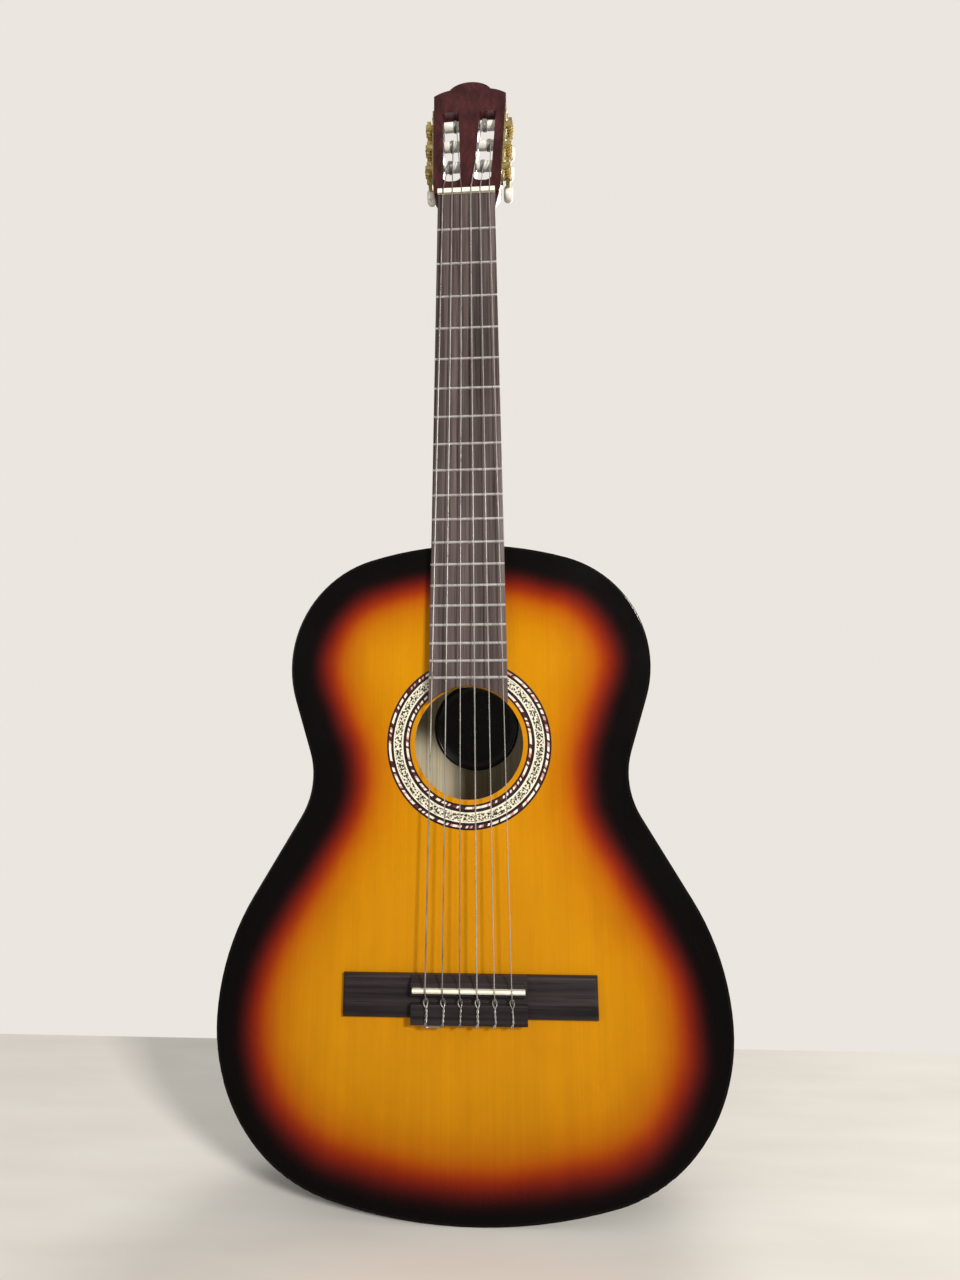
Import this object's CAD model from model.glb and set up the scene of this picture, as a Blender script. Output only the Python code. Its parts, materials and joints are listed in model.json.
import json
from math import asin, atan, atan2, cos, hypot, pi, radians, sin

import bpy
import numpy as np
from mathutils import Matrix, Vector


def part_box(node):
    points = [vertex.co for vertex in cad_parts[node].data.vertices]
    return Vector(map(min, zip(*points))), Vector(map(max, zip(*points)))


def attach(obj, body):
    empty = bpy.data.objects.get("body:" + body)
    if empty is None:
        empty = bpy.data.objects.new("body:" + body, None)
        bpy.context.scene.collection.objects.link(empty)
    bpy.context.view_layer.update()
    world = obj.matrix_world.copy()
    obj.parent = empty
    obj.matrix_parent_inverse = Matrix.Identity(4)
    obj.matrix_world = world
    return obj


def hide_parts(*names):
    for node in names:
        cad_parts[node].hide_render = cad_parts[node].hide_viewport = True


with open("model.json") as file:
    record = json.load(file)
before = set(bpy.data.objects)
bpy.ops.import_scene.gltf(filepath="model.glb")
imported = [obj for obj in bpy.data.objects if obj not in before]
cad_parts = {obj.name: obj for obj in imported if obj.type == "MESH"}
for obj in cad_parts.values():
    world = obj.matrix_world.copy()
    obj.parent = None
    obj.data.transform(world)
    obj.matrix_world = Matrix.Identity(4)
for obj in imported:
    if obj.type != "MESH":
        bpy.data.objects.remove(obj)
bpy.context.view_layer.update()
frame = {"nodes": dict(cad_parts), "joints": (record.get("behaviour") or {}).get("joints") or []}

nodes = frame["nodes"]
scene = bpy.context.scene
scene.view_settings.view_transform = "Standard"
scene.view_settings.look = "None"
MM = 0.001

# Sizes of the guitar that the finishes and the small parts need, in metres.
HOLE_CENTRE = (0.0, 0.0, 0.31651)
ROSETTE_OUTER = 0.0636
BINDING = 0.0022
WAIST_HEIGHT = 0.27
SHOULDER_HEIGHT = 0.38
BURST_REACH = 0.09
BURST_GRID = 0.007
BACK_SLOPE = atan(5 / 473)
HEAD_TILT = radians(17.5)
HEAD_UP = Vector((0, sin(HEAD_TILT), cos(HEAD_TILT)))
HEAD_FRONT = Vector((0, -cos(HEAD_TILT), sin(HEAD_TILT)))
STRING_RADIUS = {6: 0.00055, 5: 0.00045, 4: 0.00038, 3: 0.0005, 2: 0.00041, 1: 0.00036}
STRING_LANE = {6: 0.3, 5: 0.6, 4: 0.8, 3: 0.8, 2: 0.5, 1: 0.2}
STRING_TURNS = {6: 3, 5: 3, 4: 3, 3: 4, 2: 4, 1: 5}
SADDLE_SPREAD = 0.0612
ROLLER_RADIUS = 0.005
ROLLER_SEAT = 0.00015
GEAR_OUT = 0.0054
SLOT_WALL = 0.0092
SLOT_WIDTH = 0.016
NUT_CREST = -0.0080
NUT_HEIGHT = 0.8015
LABEL_RIM_RADIUS = 0.0362
LABEL_RIM_THICKNESS = 0.0011
LABEL_RIM_PROUD = 0.0003
LABEL_RIM_FLATNESS = 0.45

# Strings 6, 5 and 4 are wound; 3, 2 and 1 are plain.
STRINGS = range(1, 7)
LAST_PLAIN = 3
COIL_SIDES = 12
COIL_STEPS = 32
COIL_PITCH = 2.08
MERGE_GAP = 1e-7
SMOOTH_ANGLE = radians(60)

# The bridge's string ties are laid out in millimetres: block foot and top, and its front face.
TIE_FOOT = 125.1
TIE_TOP = 138.3
TIE_FACE = -9.0
TWIST_STEPS = 16
TWIST_HALF_TURNS = 3.2


# ---- camera ----
def add_camera():
    """The camera stands close in front of the body and looks a little up the neck."""
    bpy.ops.object.camera_add(
        location=(0.0430, -0.5574, 0.3467),
        rotation=(radians(102.28), radians(0.41), radians(3.5)),
    )
    camera = bpy.context.object
    camera.name = "camera"
    camera.data.sensor_fit = "AUTO"
    camera.data.sensor_width = 36.0
    camera.data.lens = 19.69
    camera.data.shift_y = -0.0701
    camera.data.clip_start = 0.01
    camera.data.clip_end = 20.0
    scene.camera = camera


# ---- short ways to build a material ----
def new_finish(name, **sockets):
    """A new material: its node tree and its shader, with the shader's constant sockets set."""
    material = bpy.data.materials.new(name)
    material.use_nodes = True
    tree = material.node_tree
    shader = tree.nodes["Principled BSDF"]
    for socket, value in sockets.items():
        shader.inputs[socket.replace("_", " ")].default_value = value
    return material, tree, shader


def add_node(tree, kind, sockets=None, **settings):
    """A node with its settings; a socket's value is either a constant or another node's output."""
    node = tree.nodes.new(kind)
    for key, value in settings.items():
        setattr(node, key, value)
    for key, value in (sockets or {}).items():
        if isinstance(value, bpy.types.NodeSocket):
            tree.links.new(value, node.inputs[key])
        else:
            node.inputs[key].default_value = value
    return node


def object_place(tree, scale=(1, 1, 1), move=(0, 0, 0)):
    """The object coordinates, moved and stretched."""
    place = add_node(tree, "ShaderNodeTexCoord").outputs["Object"]
    sockets = {"Vector": place, "Location": move, "Scale": scale}
    return add_node(tree, "ShaderNodeMapping", sockets).outputs[0]


def noise(tree, place, scale=1.0, detail=3.0, rough=0.5, distort=0.0):
    """A cloud of values from 0 to 1."""
    sockets = {
        "Vector": place,
        "Scale": scale,
        "Detail": detail,
        "Roughness": rough,
        "Distortion": distort,
    }
    return add_node(tree, "ShaderNodeTexNoise", sockets).outputs[0]


def ramp(tree, value, stops, interpolation="LINEAR"):
    """Colours laid along a value; each stop is (position, colour or grey)."""
    node = add_node(tree, "ShaderNodeValToRGB", {0: value})
    elements = node.color_ramp.elements
    node.color_ramp.interpolation = interpolation
    while len(elements) < len(stops):
        elements.new(1.0)
    for element, (position, colour) in zip(elements, stops):
        element.position = position
        grey = (colour,) * 3 if isinstance(colour, (int, float)) else tuple(colour)
        element.color = (*grey, 1.0)
    return node.outputs[0]


def maths(tree, operation, first, second=0.0, third=0.0):
    """One sum."""
    return add_node(tree, "ShaderNodeMath", {0: first, 1: second, 2: third}, operation=operation).outputs[0]


def spread(tree, value, low, high, new_low=0.0, new_high=1.0):
    """A value carried from one span to another."""
    sockets = {0: value, 1: low, 2: high, 3: new_low, 4: new_high}
    return add_node(tree, "ShaderNodeMapRange", sockets).outputs[0]


def blend(tree, share, first, second, how="MIX"):
    """Two colours mixed by a share."""
    node = add_node(tree, "ShaderNodeMix", data_type="RGBA", blend_type=how)
    for socket, value in ((node.inputs[0], share), (node.inputs[6], first), (node.inputs[7], second)):
        if isinstance(value, bpy.types.NodeSocket):
            tree.links.new(value, socket)
        elif isinstance(value, (int, float)):
            socket.default_value = value
        else:
            socket.default_value = (*value, 1.0)
    return node.outputs[2]


def multiply(tree, first, second):
    """One colour toned by another."""
    return blend(tree, 1.0, first, second, "MULTIPLY")


def finish_colour(tree, shader, colour):
    tree.links.new(colour, shader.inputs["Base Color"])


def finish_rough(tree, shader, value):
    tree.links.new(value, shader.inputs["Roughness"])


def finish_bump(tree, shader, height, strength, depth):
    """Relief from a height; depth is in metres."""
    sockets = {"Strength": strength, "Distance": depth, "Height": height}
    tree.links.new(add_node(tree, "ShaderNodeBump", sockets).outputs[0], shader.inputs["Normal"])


# ---- woods ----
def sunburst_finish():
    """Lacquered spruce: amber in the middle, burning through orange and red to black at the edge."""
    material, tree, shader = new_finish(
        "sunburst_lacquer", Coat_Weight=0.8, Coat_Roughness=0.02, Coat_IOR=1.4, Specular_IOR_Level=0.06
    )
    edge = add_node(tree, "ShaderNodeAttribute", attribute_name="edge_distance").outputs["Fac"]
    cloud = noise(tree, object_place(tree, (9, 9, 9)), detail=2.0)
    wander = spread(tree, cloud, 0.3, 0.7, -0.0025, 0.0025)
    height = object_place_axis(tree, "Z")
    # The dark edge is narrow at the tail, widest at the waist and back to normal at the shoulders.
    rise = spread(tree, height, 0.0, WAIST_HEIGHT, -0.0095, 0.0040)
    fall = spread(tree, height, WAIST_HEIGHT, SHOULDER_HEIGHT, 0.0, 0.0045)
    waist = maths(tree, "SUBTRACT", rise, fall)
    burn = maths(tree, "SUBTRACT", maths(tree, "ADD", edge, wander), waist)
    stops = [
        (0.16, (0.0028, 0.0021, 0.0022)),
        (0.22, (0.0075, 0.0022, 0.0022)),
        (0.28, (0.058, 0.005, 0.004)),
        (0.34, (0.16, 0.010, 0.004)),
        (0.41, (0.30, 0.028, 0.002)),
        (0.48, (0.42, 0.088, 0.001)),
        (0.56, (0.46, 0.138, 0.001)),
        (0.72, (0.53, 0.203, 0.001)),
        (1.00, (0.58, 0.240, 0.002)),
    ]
    burst = ramp(tree, spread(tree, burn, 0.0, BURST_REACH), stops, "B_SPLINE")
    fine = noise(tree, object_place(tree, (620, 40, 5)), detail=2.0, rough=0.6)
    broad = noise(tree, object_place(tree, (150, 20, 2.2)), detail=3.0, rough=0.55)
    silk = noise(tree, object_place(tree, (55, 20, 22)), detail=2.0, distort=0.6)
    fine_tone = ramp(tree, fine, [(0.3, 0.86), (0.7, 1.0)])
    broad_tone = ramp(tree, broad, [(0.3, 0.91), (0.7, 1.0)])
    grain = blend(tree, 0.5, fine_tone, broad_tone)
    silk_tone = ramp(tree, silk, [(0.35, 0.93), (0.7, 1.0)])
    toned = multiply(tree, multiply(tree, burst, grain), silk_tone)
    age = spread(tree, height, 0.05, 0.26, 0.84, 1.0)
    finish_colour(tree, shader, multiply(tree, toned, age))
    smear = noise(tree, object_place(tree, (14, 14, 11)), detail=4.0, rough=0.6)
    finish_rough(tree, shader, spread(tree, smear, 0.35, 0.7, 0.22, 0.42))
    ripple = noise(tree, object_place(tree, (120,) * 3), detail=1.0)
    finish_bump(tree, shader, maths(tree, "ADD", fine, ripple), 0.05, 0.0002)
    return material


def object_place_axis(tree, axis):
    """One of the object coordinates."""
    split = add_node(tree, "ShaderNodeSeparateXYZ", {0: object_place(tree)})
    return split.outputs[axis]


def bare_spruce(name, tone):
    """Unlacquered pale wood with its grain upright."""
    material, tree, shader = new_finish(name, Specular_IOR_Level=0.3)
    scale = (500, 300, 7)
    fine = noise(tree, object_place(tree, scale), detail=3.0, rough=0.6)
    broad = noise(tree, object_place(tree, tuple(part / 6 for part in scale)), detail=2.0)
    light = tuple(part * 1.08 for part in tone)
    dark = tuple(part * 0.66 for part in tone)
    lines = ramp(tree, fine, [(0.3, dark), (0.62, tone), (0.9, light)])
    finish_colour(tree, shader, multiply(tree, lines, ramp(tree, broad, [(0.3, 0.82), (0.7, 1.0)])))
    finish_rough(tree, shader, spread(tree, broad, 0.3, 0.7, 0.6, 0.8))
    finish_bump(tree, shader, fine, 0.3, 0.0002)
    return material


def black_lacquer():
    """Black gloss lacquer, patchily polished, with wood showing faintly through."""
    material, tree, shader = new_finish(
        "black_lacquer", Coat_Weight=0.8, Coat_Roughness=0.02, Coat_IOR=1.4, Specular_IOR_Level=0.06
    )
    wood = noise(tree, object_place(tree, (260, 260, 6)), detail=3.0)
    tones = [(0.3, (0.0035, 0.003, 0.003)), (0.75, (0.009, 0.0058, 0.0055))]
    finish_colour(tree, shader, ramp(tree, wood, tones))
    dust = noise(tree, object_place(tree, (38, 38, 30)), detail=5.0, rough=0.65)
    finish_rough(tree, shader, spread(tree, dust, 0.4, 0.75, 0.16, 0.4))
    finish_bump(tree, shader, noise(tree, object_place(tree, (160,) * 3), detail=2.0), 0.04, 0.0003)
    return material


def dark_wood(name, tones, scale, rough, gloss, pores=0.5):
    """Dark open-grained wood: streaks, fine pores and a worn polish. Tones run dark to light."""
    material, tree, shader = new_finish(name, Coat_Weight=gloss, Coat_Roughness=0.08, Specular_IOR_Level=0.4)
    streak = noise(tree, object_place(tree, scale), detail=4.0, rough=0.62, distort=0.25)
    long_scale = tuple(part * 0.28 for part in scale)
    band = noise(tree, object_place(tree, long_scale, move=(0.31, 0.2, 0.4)), detail=2.0, distort=0.3)
    pore_scale = tuple(part * 3.2 for part in scale)
    pore = noise(tree, object_place(tree, pore_scale), detail=2.0, rough=0.7)
    dark, middle, light = tones
    wood = ramp(tree, streak, [(0.30, dark), (0.47, middle), (0.72, light)])
    banded = multiply(tree, wood, ramp(tree, band, [(0.33, 0.55), (0.62, 1.08)]))
    pitted = multiply(tree, banded, ramp(tree, pore, [(0.30, 1.0 - pores), (0.46, 1.0)]))
    finish_colour(tree, shader, pitted)
    polish = noise(tree, object_place(tree, (30, 30, 12)), detail=3.0)
    finish_rough(tree, shader, spread(tree, polish, 0.3, 0.7, *rough))
    finish_bump(tree, shader, maths(tree, "ADD", pore, streak), 0.22, 0.00015)
    return material


# ---- rosette ----
def rosette_finish():
    """Rings of wood mosaic: dark lines, broken white and red tiles, and a cream band of scrolls."""
    material, tree, shader = new_finish("rosette_mosaic", Coat_Weight=1.0, Coat_Roughness=0.04)
    flat = object_place(tree, move=tuple(-part for part in HOLE_CENTRE))
    split = add_node(tree, "ShaderNodeSeparateXYZ", {0: flat})
    across, up = split.outputs["X"], split.outputs["Z"]
    square = maths(tree, "MULTIPLY_ADD", across, across, maths(tree, "MULTIPLY", up, up))
    radius = maths(tree, "SQRT", square)
    turn = maths(tree, "ARCTAN2", up, across)

    def tiles(count, row, middle):
        """Short slanted tiles round a ring, each with its own value."""
        slant = maths(tree, "MULTIPLY", maths(tree, "SUBTRACT", radius, middle), tile_slant)
        step = maths(tree, "FLOOR", maths(tree, "MULTIPLY_ADD", turn, count / (2 * pi), slant))
        place = add_node(tree, "ShaderNodeCombineXYZ", {0: step, 1: row}).outputs[0]
        grains = add_node(tree, "ShaderNodeTexWhiteNoise", {"Vector": place}, noise_dimensions="2D")
        return grains.outputs[0]

    tile_slant = 320.0
    tile_tones = [
        (0.0, (0.070, 0.014, 0.016)),
        (0.26, (0.62, 0.30, 0.27)),
        (0.40, (0.88, 0.80, 0.70)),
        (0.76, (0.12, 0.030, 0.035)),
        (0.86, (0.84, 0.74, 0.62)),
    ]
    outer_tiles = ramp(tree, tiles(230, 1.0, 0.0614), tile_tones, "CONSTANT")
    inner_tiles = ramp(tree, tiles(180, 2.0, 0.0489), tile_tones, "CONSTANT")

    # The cream band: small dark scrolls, leaves and dots that follow the ring.
    band_middle = 0.0548
    band_half_width = 2.7
    arc = maths(tree, "MULTIPLY", turn, band_middle / MM)
    lift = maths(tree, "MULTIPLY", maths(tree, "SUBTRACT", radius, band_middle), 1.0 / MM)
    band_place = add_node(tree, "ShaderNodeCombineXYZ", {0: arc, 1: lift}).outputs[0]
    curl = noise(tree, band_place, scale=0.30, detail=0.0, distort=1.2)
    vein = maths(tree, "ABSOLUTE", maths(tree, "SUBTRACT", curl, 0.5))
    leaf = noise(tree, band_place, scale=0.55, detail=0.0, distort=0.5)
    dots = add_node(
        tree,
        "ShaderNodeTexVoronoi",
        {"Vector": band_place, "Scale": 0.4, "Randomness": 0.7},
        voronoi_dimensions="2D",
    ).outputs[0]
    curls = ramp(tree, vein, [(0.026, 1.0), (0.044, 0.0)])
    leaves = ramp(tree, leaf, [(0.60, 0.0), (0.63, 1.0)])
    specks = ramp(tree, dots, [(0.24, 1.0), (0.31, 0.0)])
    inside = maths(tree, "LESS_THAN", maths(tree, "ABSOLUTE", lift), band_half_width)
    motif = maths(tree, "MAXIMUM", maths(tree, "MAXIMUM", curls, leaves), specks)
    motif = maths(tree, "MULTIPLY", motif, inside)
    scrolls = blend(tree, motif, (0.84, 0.78, 0.60), (0.030, 0.030, 0.018))

    dark = (0.02, 0.008, 0.008)
    white = (0.86, 0.80, 0.66)
    rings = [
        (0.0455, dark),
        (0.0469, inner_tiles),
        (0.0486, dark),
        (0.0509, white),
        (0.0515, scrolls),
        (0.0578, white),
        (0.0584, dark),
        (0.0604, outer_tiles),
        (0.0621, dark),
    ]
    colour = rings[0][1]
    for start, tone in rings[1:]:
        colour = blend(tree, maths(tree, "GREATER_THAN", radius, start), colour, tone)
    aged = noise(tree, object_place(tree, (90, 90, 90)), detail=3.0)
    finish_colour(tree, shader, multiply(tree, colour, ramp(tree, aged, [(0.3, 0.86), (0.7, 1.0)])))
    finish_rough(tree, shader, spread(tree, aged, 0.3, 0.7, 0.25, 0.4))
    finish_bump(tree, shader, maths(tree, "ADD", aged, motif), 0.06, 0.0001)
    return material


# ---- bone, metal, plastic and string ----
def bone_finish(name, tone):
    """Polished bone or white plastic with faint pores and handling marks."""
    material, tree, shader = new_finish(name, Coat_Weight=0.3, Coat_Roughness=0.15)
    cloud = noise(tree, object_place(tree, (90, 240, 240)), detail=4.0)
    yellow = tuple(part * factor for part, factor in zip(tone, (0.90, 0.84, 0.70)))
    finish_colour(tree, shader, ramp(tree, cloud, [(0.30, yellow), (0.55, tone)]))
    finish_rough(tree, shader, spread(tree, cloud, 0.3, 0.7, 0.28, 0.45))
    finish_bump(tree, shader, noise(tree, object_place(tree, (1500,) * 3), detail=2.0), 0.08, 0.0001)
    return material


def metal_finish(name, bright, dull, rough, scale, metal, relief=0.12):
    """Metal with drawn scratches, tarnish and finger marks."""
    material, tree, shader = new_finish(name, Metallic=metal)
    tarnish = noise(tree, object_place(tree, (170, 170, 170)), detail=5.0, rough=0.6)
    scratch = noise(tree, object_place(tree, scale), detail=3.0, rough=0.6)
    finish_colour(tree, shader, ramp(tree, tarnish, [(0.30, dull), (0.58, bright)]))
    wear = maths(tree, "ADD", tarnish, scratch)
    finish_rough(tree, shader, spread(tree, wear, 0.7, 1.3, *rough))
    finish_bump(tree, shader, scratch, relief, 0.00008)
    return material


def engraved_gold():
    """Gold-plated tuner plate with a pressed scroll pattern."""
    material, tree, shader = new_finish("engraved_gold", Metallic=0.75)
    place = object_place(tree)
    cells = {"Vector": place, "Scale": 260.0}
    leaf = add_node(tree, "ShaderNodeTexVoronoi", cells, feature="SMOOTH_F1").outputs[0]
    vine = noise(tree, place, scale=230.0, detail=1.0, distort=2.2)
    leaves = ramp(tree, leaf, [(0.2, 1.0), (0.5, 0.0)])
    vines = ramp(tree, vine, [(0.45, 0.0), (0.55, 1.0)])
    relief = maths(tree, "ADD", leaves, vines)
    tarnish = noise(tree, object_place(tree, (140,) * 3), detail=4.0)
    gold = ramp(tree, tarnish, [(0.3, (0.62, 0.46, 0.14)), (0.6, (0.95, 0.78, 0.36))])
    grooves = ramp(tree, relief, [(0.1, 0.25), (0.6, 1.0)])
    finish_colour(tree, shader, blend(tree, 0.35, gold, grooves, "MULTIPLY"))
    finish_rough(tree, shader, spread(tree, tarnish, 0.3, 0.7, 0.2, 0.38))
    finish_bump(tree, shader, relief, 0.5, 0.0003)
    return material


def wound_finish():
    """Silvered wire wound on a string: fine rings along it, dulled where fingers touch."""
    material, tree, shader = new_finish("silver_winding", Metallic=0.7)
    rings = add_node(
        tree,
        "ShaderNodeTexWave",
        {"Vector": object_place(tree), "Scale": 900.0, "Distortion": 0.0},
        bands_direction="Z",
    ).outputs[1]
    dull = noise(tree, object_place(tree, (60, 60, 60)), detail=3.0)
    tones = [(0.3, (0.28, 0.26, 0.24)), (0.65, (0.47, 0.45, 0.42))]
    finish_colour(tree, shader, ramp(tree, dull, tones))
    finish_rough(tree, shader, spread(tree, dull, 0.3, 0.7, 0.25, 0.42))
    finish_bump(tree, shader, rings, 0.3, 0.00006)
    return material


def nylon_finish():
    """Clear nylon, a little milky."""
    material, tree, shader = new_finish("clear_nylon", Transmission_Weight=0.55, IOR=1.5)
    haze = noise(tree, object_place(tree, (300, 300, 40)), detail=2.0)
    finish_colour(tree, shader, ramp(tree, haze, [(0.3, (0.44, 0.43, 0.40)), (0.7, (0.62, 0.61, 0.57))]))
    finish_rough(tree, shader, spread(tree, haze, 0.3, 0.7, 0.12, 0.25))
    return material


def pearl_finish():
    """Pearl plastic: soft folded layers of cream, grey and a little pink."""
    material, tree, shader = new_finish("pearl_plastic", Coat_Weight=1.0, Coat_Roughness=0.05)
    fold = noise(tree, object_place(tree, (110, 150, 90)), detail=3.0, distort=2.5)
    shimmer = noise(tree, object_place(tree, (210, 160, 240), move=(0.4, 0.1, 0.2)), detail=2.0, distort=1.5)
    tones = [(0.28, (0.50, 0.47, 0.42)), (0.45, (0.82, 0.78, 0.70)), (0.62, (0.93, 0.91, 0.86))]
    layers = ramp(tree, fold, tones)
    tint = ramp(tree, shimmer, [(0.35, (1.0, 0.92, 0.90)), (0.65, (0.93, 1.0, 0.97))])
    finish_colour(tree, shader, multiply(tree, layers, tint))
    finish_rough(tree, shader, spread(tree, fold, 0.3, 0.7, 0.18, 0.34))
    finish_bump(tree, shader, fold, 0.05, 0.0002)
    return material


def label_finish():
    """Blank black card with one slightly lighter ring, rubbed here and there."""
    material, tree, shader = new_finish("black_card", Coat_Weight=0.6, Coat_Roughness=0.12)
    low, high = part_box("label")
    middle = [(a + b) / 2 for a, b in zip(low, high)]
    flat = object_place(tree, move=(-middle[0], 0, -middle[2]), scale=(1, 0, 1))
    radius = add_node(tree, "ShaderNodeVectorMath", {0: flat}, operation="LENGTH").outputs["Value"]
    ring_stops = [(0.0, 0.0), (0.40, 1.0), (0.52, 1.0), (0.66, 0.0)]
    ring = ramp(tree, spread(tree, radius, 0.030, 0.038), ring_stops)
    rub = noise(tree, object_place(tree, (60, 60, 60)), detail=4.0)
    card = ramp(tree, rub, [(0.3, (0.006, 0.007, 0.009)), (0.7, (0.016, 0.018, 0.022))])
    finish_colour(tree, shader, blend(tree, ring, card, (0.05, 0.055, 0.06)))
    finish_rough(tree, shader, spread(tree, rub, 0.3, 0.7, 0.22, 0.4))
    finish_bump(tree, shader, rub, 0.1, 0.0002)
    return material


def give(material, *names):
    """A CAD node's material slots all take one finish."""
    for name in names:
        mesh = nodes[name].data
        mesh.materials.clear()
        mesh.materials.append(material)


def bare_inside(material, name, faces_inwards):
    """The inner faces of a body part stay bare wood."""
    mesh = nodes[name].data
    mesh.materials.append(material)
    for face in mesh.polygons:
        face.material_index = 1 if faces_inwards(face) else 0


# ---- modelling helpers ----
def nothing_selected():
    """Back to object mode with nothing selected."""
    if bpy.context.mode != "OBJECT":
        bpy.ops.object.mode_set(mode="OBJECT")
    bpy.ops.object.select_all(action="DESELECT")


def only(piece):
    """Select one piece and make it active."""
    nothing_selected()
    piece.select_set(True)
    bpy.context.view_layer.objects.active = piece


def settle(piece):
    """Put a piece's place into its mesh."""
    only(piece)
    bpy.ops.object.transform_apply(location=True, rotation=True, scale=True)


def outline_distance(points, outline):
    """Distance from each point to a closed outline of straight runs."""
    best = np.full(len(points), 1.0)
    for start, end in zip(outline, np.roll(outline, -1, axis=0)):
        run = end - start
        share = np.clip(((points - start) @ run) / max(run @ run, 1e-12), 0, 1)
        gap = points - start - share[:, None] * run
        best = np.minimum(best, np.hypot(gap[:, 0], gap[:, 1]))
    return best


def burst_top(lacquer, bare):
    """The soundboard, cut into small squares so that its sunburst can follow the outline."""
    source = nodes["soundboard"]
    spots = np.array([vertex.co[:] for vertex in source.data.vertices])
    rim = spots[np.abs(spots[:, 1]) < 1e-5][:, [0, 2]]
    rim = rim[np.hypot(rim[:, 0], rim[:, 1] - HOLE_CENTRE[2]) > ROSETTE_OUTER + 0.001]
    rim = np.unique(np.round(rim, 6), axis=0)
    order = np.argsort(np.arctan2(rim[:, 1] - WAIST_HEIGHT, rim[:, 0]))
    outline = rim[order]

    top = bpy.data.objects.new("top_burst", source.data.copy())
    scene.collection.objects.link(top)
    only(top)
    bpy.ops.object.mode_set(mode="EDIT")
    bpy.ops.mesh.select_all(action="SELECT")
    bpy.ops.mesh.remove_doubles(threshold=1e-6)
    low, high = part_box("soundboard")
    for axis, normal in ((0, (1, 0, 0)), (2, (0, 0, 1))):
        count = int((high[axis] - low[axis]) / BURST_GRID)
        for index in range(1, count + 1):
            plane = [0.0, 0.0, 0.0]
            plane[axis] = low[axis] + index * (high[axis] - low[axis]) / (count + 1)
            bpy.ops.mesh.select_all(action="SELECT")
            bpy.ops.mesh.bisect(plane_co=plane, plane_no=normal)
    bpy.ops.object.mode_set(mode="OBJECT")
    mesh = top.data
    flat = np.array([(vertex.co.x, vertex.co.z) for vertex in mesh.vertices])
    distance = outline_distance(flat, outline) + BINDING
    attribute = mesh.attributes.new("edge_distance", "FLOAT", "POINT")
    attribute.data.foreach_set("value", distance.astype(np.float32))
    mesh.materials.clear()
    mesh.materials.append(lacquer)
    mesh.materials.append(bare)
    for face in mesh.polygons:
        face.material_index = 0 if face.normal.y < -0.5 else 1
    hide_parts("soundboard")
    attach(top, "guitar")


def string_place(number):
    """Where a string crosses the saddle, left to right."""
    share = (len(STRINGS) - number) / (len(STRINGS) - 1)
    return (share - 0.5) * SADDLE_SPREAD


def roller_frame(number):
    """Roller axis outwards, the middle of the string's turns, and the way that the turns go round."""
    joint = next(j for j in frame["joints"] if j["name"] == f"tuner_{number}_roller_turn")
    outward = Vector(joint["axis"]).normalized()
    inset = GEAR_OUT + SLOT_WALL + SLOT_WIDTH * STRING_LANE[number]
    centre = Vector(joint["pos_m"]) - outward * inset
    side = 1 if number <= LAST_PLAIN else -1
    return outward, centre, side


def string_coil(number, material):
    """The turns of one string on its roller."""
    radius = STRING_RADIUS[number]
    outward, centre, side = roller_frame(number)
    reach = ROLLER_RADIUS + radius + ROLLER_SEAT
    nut_point = Vector((centre.x, NUT_CREST - radius, NUT_HEIGHT))
    run = centre - nut_point
    along, forward = run.dot(HEAD_UP), run.dot(HEAD_FRONT)
    lift = atan2(forward, along) + asin(reach / hypot(along, forward))
    start = (HEAD_FRONT * cos(lift) - HEAD_UP * sin(lift)).normalized()
    axis = -outward * side
    start = (start - axis * start.dot(axis)).normalized()
    away = 1 if STRING_LANE[number] > 0.5 else -1
    pitch = COIL_PITCH * radius * away * -side

    nothing_selected()
    bpy.ops.mesh.primitive_circle_add(
        vertices=COIL_SIDES,
        radius=radius,
        fill_type="NOTHING",
        location=(reach, 0, 0),
        rotation=(pi / 2, 0, 0),
    )
    coil = bpy.context.object
    coil.name = f"string_coil_{number}"
    settle(coil)
    turns = coil.modifiers.new("turns", "SCREW")
    turns.axis = "Z"
    turns.angle = 2 * pi
    turns.screw_offset = pitch
    turns.iterations = STRING_TURNS[number]
    turns.steps = COIL_STEPS
    turns.render_steps = COIL_STEPS
    turns.use_smooth_shade = True
    bpy.ops.object.modifier_apply(modifier="turns")
    bpy.ops.object.mode_set(mode="EDIT")
    bpy.ops.mesh.select_all(action="SELECT")
    bpy.ops.mesh.remove_doubles(threshold=MERGE_GAP)
    bpy.ops.mesh.select_all(action="DESELECT")
    bpy.ops.mesh.select_non_manifold()
    bpy.ops.mesh.edge_face_add()
    bpy.ops.mesh.select_all(action="SELECT")
    bpy.ops.mesh.normals_make_consistent(inside=False)
    bpy.ops.object.mode_set(mode="OBJECT")
    basis = Matrix((start, axis.cross(start), axis)).transposed().to_4x4()
    coil.matrix_world = Matrix.Translation(centre) @ basis
    settle(coil)
    coil.data.materials.append(material)
    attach(coil, f"tuner_{number}_roller")


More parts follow.
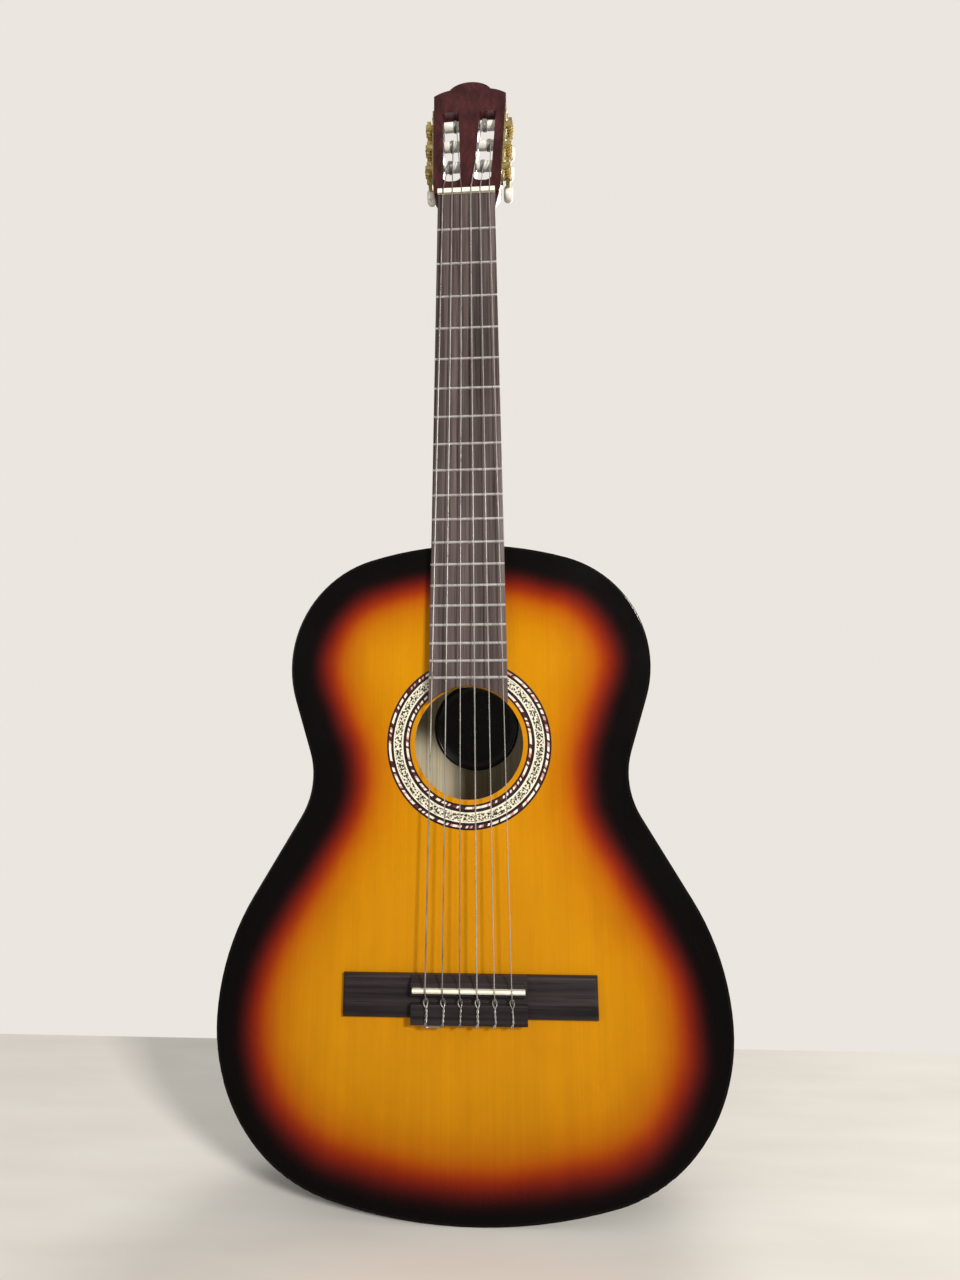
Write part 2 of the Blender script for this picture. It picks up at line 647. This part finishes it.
def bridge_tie(number, material):
    """The string's end: up over the tie block, round the string and twisted back down.

    The thickest string's tail runs along the foot of the block; the others are cut short.
    """
    radius = STRING_RADIUS[number] / MM
    across = string_place(number) / MM
    foot, top, face = TIE_FOOT, TIE_TOP, TIE_FACE
    middle = face - 2.05 * radius
    route = [
        (0.0, -6.0, foot + 0.6),
        (0.0, -6.0, foot - radius - 0.1),
        (0.1, -7.2, foot - radius - 0.5),
        (0.3, face - 0.3, foot - radius - 0.2),
        (0.4, face - radius, foot + 0.7),
    ]
    swing = radius * 1.03
    up = []
    down = []
    for index in range(TWIST_STEPS + 1):
        share = index / TWIST_STEPS
        angle = pi / 2 + share * TWIST_HALF_TURNS * pi
        level = foot + 2.0 + share * (top - foot - 3.4)
        lean = 0.4 + 0.25 * sin(3 * share + number)
        up.append((lean + swing * cos(angle), middle + swing * sin(angle), level))
        down.append((lean - swing * cos(angle), middle - swing * sin(angle), level))
    loop = [
        (1.3, face - 1.6 * radius, top + 0.2),
        (1.5, face + 0.4, top + 1.6),
        (0.9, -6.9 + radius, top + 2.9),
        (-0.4, -7.0 + radius, top + 3.2),
        (-1.6, -8.2, top + 2.4),
        (-1.3, face - 1.0 * radius, top + 0.7),
        (-0.4, face - 2.2 * radius, top - 0.6),
    ]
    tail = [
        (-0.5, middle - 0.2, foot + 1.2),
        (-0.9, face - 0.4 - radius, foot - 0.2),
    ]
    if number == len(STRINGS):
        tail += [
            (0.8, face + 0.3, foot - 1.3),
            (4.5, face + 0.9, foot - 0.9),
            (10.5, face + 0.6, foot - 1.0),
        ]
    else:
        tail += [
            (-1.5, face + 0.5, foot - 1.2),
            (-2.4 + 0.3 * number, face + 1.6, foot - 1.6),
        ]
    points = [(across + x, y, z) for x, y, z in route + up + loop + down[::-1] + tail]
    nothing_selected()
    bpy.ops.curve.primitive_nurbs_path_add()
    tie = bpy.context.object
    tie.name = f"bridge_tie_{number}"
    tie.data.splines.clear()
    spline = tie.data.splines.new("NURBS")
    spline.points.add(len(points) - 1)
    for point, spot in zip(spline.points, points):
        point.co = (spot[0] * MM, spot[1] * MM, spot[2] * MM, 1.0)
    spline.order_u = 3
    spline.use_endpoint_u = True
    spline.resolution_u = 4
    tie.data.bevel_depth = radius * MM
    tie.data.bevel_resolution = 2
    tie.data.use_fill_caps = True
    only(tie)
    bpy.ops.object.convert(target="MESH")
    tie = bpy.context.object
    bpy.ops.object.mode_set(mode="EDIT")
    bpy.ops.mesh.select_all(action="SELECT")
    bpy.ops.mesh.remove_doubles(threshold=MERGE_GAP)
    bpy.ops.mesh.normals_make_consistent(inside=False)
    bpy.ops.object.mode_set(mode="OBJECT")
    bpy.ops.object.shade_smooth_by_angle(angle=SMOOTH_ANGLE)
    settle(tie)
    tie.data.materials.append(material)
    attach(tie, "guitar")


def label_rim(material):
    """A low rolled rim round the label."""
    low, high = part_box("label")
    middle = [(a + b) / 2 for a, b in zip(low, high)]
    nothing_selected()
    bpy.ops.mesh.primitive_torus_add(
        major_segments=96,
        minor_segments=12,
        major_radius=LABEL_RIM_RADIUS,
        minor_radius=LABEL_RIM_THICKNESS,
        location=(middle[0], low[1] + LABEL_RIM_PROUD, middle[2]),
        rotation=(pi / 2 - BACK_SLOPE, 0, 0),
    )
    rim = bpy.context.object
    rim.name = "label_rim"
    rim.scale = (1, 1, LABEL_RIM_FLATNESS)
    settle(rim)
    bpy.ops.object.shade_smooth_by_angle(angle=SMOOTH_ANGLE)
    rim.data.materials.append(material)
    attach(rim, "guitar")


# ---- stage ----
def add_stage():
    """A pale floor, a pale room, a key from the upper right, a weak fill and a light behind."""
    nothing_selected()
    bpy.ops.mesh.primitive_plane_add(size=1.0, location=(0, -0.30, -0.0002))
    floor = bpy.context.object
    floor.scale = (5.0, 1.124, 1.0)
    floor.name = "floor"
    material, tree, shader = new_finish("pale_floor", Roughness=0.8)
    weave = noise(tree, object_place(tree, (30, 30, 30)), detail=4.0)
    tones = [(0.3, (0.74, 0.71, 0.66)), (0.7, (0.80, 0.78, 0.73))]
    finish_colour(tree, shader, ramp(tree, weave, tones))
    floor.data.materials.append(material)
    floor.visible_glossy = False
    world = bpy.data.worlds.new("pale_room")
    scene.world = world
    world.use_nodes = True
    background = world.node_tree.nodes["Background"]
    background.inputs["Color"].default_value = (0.83, 0.79, 0.74, 1.0)
    # The room is bright to the camera, softer as a light and dim in reflections.
    path = add_node(world.node_tree, "ShaderNodeLightPath")
    shine = spread(world.node_tree, path.outputs["Is Glossy Ray"], 0.0, 1.0, 0.44, 0.09)
    strength = maths(world.node_tree, "MAXIMUM", shine, path.outputs["Is Camera Ray"])
    world.node_tree.links.new(strength, background.inputs["Strength"])
    lights = (
        ("key", (1.24, -1.8, 1.11), 0.32, 58.0, (1.0, 0.97, 0.93)),
        ("fill", (-1.9, -1.6, 1.0), 1.8, 16.0, (0.95, 0.97, 1.0)),
        ("rear", (0.8, 1.9, 1.8), 1.5, 26.0, (1.0, 0.98, 0.95)),
    )
    target = Vector((0, 0, 0.4))
    for name, spot, size, power, colour in lights:
        nothing_selected()
        aim = (target - Vector(spot)).to_track_quat("-Z", "Y").to_euler()
        bpy.ops.object.light_add(type="AREA", location=spot, rotation=aim)
        light = bpy.context.object
        light.name = name
        light.data.shape = "SQUARE"
        light.data.size = size
        light.data.energy = power
        light.data.color = colour


add_camera()
LACQUER = sunburst_finish()
BARE = bare_spruce("bare_spruce", (0.66, 0.50, 0.30))
BRACE = bare_spruce("brace_spruce", (0.62, 0.50, 0.33))
BACKWOOD = bare_spruce("back_wood_inside", (0.66, 0.58, 0.40))
BLACK = black_lacquer()
BOARD = dark_wood(
    "fingerboard_wood",
    ((0.026, 0.017, 0.016), (0.092, 0.064, 0.060), (0.150, 0.112, 0.106)),
    (420, 60, 7),
    (0.34, 0.52),
    0.15,
)
BRIDGE = dark_wood(
    "bridge_wood",
    ((0.010, 0.007, 0.008), (0.024, 0.017, 0.018), (0.044, 0.032, 0.032)),
    (7, 120, 420),
    (0.38, 0.55),
    0.1,
)
NECK = dark_wood(
    "neck_wood",
    ((0.040, 0.009, 0.009), (0.060, 0.013, 0.014), (0.082, 0.020, 0.020)),
    (260, 260, 6),
    (0.22, 0.36),
    0.9,
    0.15,
)
BONE = bone_finish("cream_bone", (0.86, 0.82, 0.71))
ROLLER = bone_finish("roller_plastic", (0.84, 0.83, 0.79))
NICKEL = metal_finish(
    "fret_nickel",
    (0.92, 0.90, 0.86),
    (0.70, 0.67, 0.62),
    (0.26, 0.40),
    (60, 60, 4000),
    metal=0.7,
)
STEEL = metal_finish(
    "screw_steel",
    (0.74, 0.73, 0.71),
    (0.42, 0.39, 0.36),
    (0.22, 0.42),
    (2000, 2000, 2000),
    metal=0.75,
)
GOLD = metal_finish(
    "gold_plating",
    (0.95, 0.78, 0.36),
    (0.60, 0.45, 0.15),
    (0.18, 0.36),
    (1500, 1500, 1500),
    relief=0.2,
    metal=0.75,
)
PLATE = engraved_gold()
WOUND = wound_finish()
NYLON = nylon_finish()
PEARL = pearl_finish()
CARD = label_finish()
MOSAIC = rosette_finish()

give(BLACK, "side_bass", "side_treble", "bindings", "back")
bare_inside(BACKWOOD, "back", lambda face: face.normal.y < 0)
for side_name in ("side_bass", "side_treble"):
    bare_inside(
        BACKWOOD,
        side_name,
        lambda face: face.normal.x * face.center.x + face.normal.z * (face.center.z - WAIST_HEIGHT) < 0,
    )
give(BRACE, "top_linings", "back_linings", "soundboard_braces", "back_braces", "neck_block", "tail_block")
give(BOARD, "fingerboard")
give(BRIDGE, "bridge")
give(NECK, "neck", "headstock", "head_veneer")
give(BONE, "nut", "saddle")
give(NICKEL, "frets")
give(MOSAIC, "rosette")
give(CARD, "label")
give(PLATE, "tuner_plate_bass", "tuner_plate_treble")
give(STEEL, "plate_screws", *[f"gear_screw_{n}" for n in STRINGS])
give(GOLD, *[f"gear_{n}" for n in STRINGS], *[f"worm_{n}" for n in STRINGS])
give(ROLLER, *[f"roller_{n}" for n in STRINGS])
give(PEARL, *[f"button_{n}" for n in STRINGS])
give(WOUND, "string_6", "string_5", "string_4")
give(NYLON, "string_3", "string_2", "string_1")

burst_top(LACQUER, BARE)
for string_number in STRINGS:
    string_finish = WOUND if string_number > LAST_PLAIN else NYLON
    string_coil(string_number, string_finish)
    bridge_tie(string_number, string_finish)
label_rim(CARD)
add_stage()
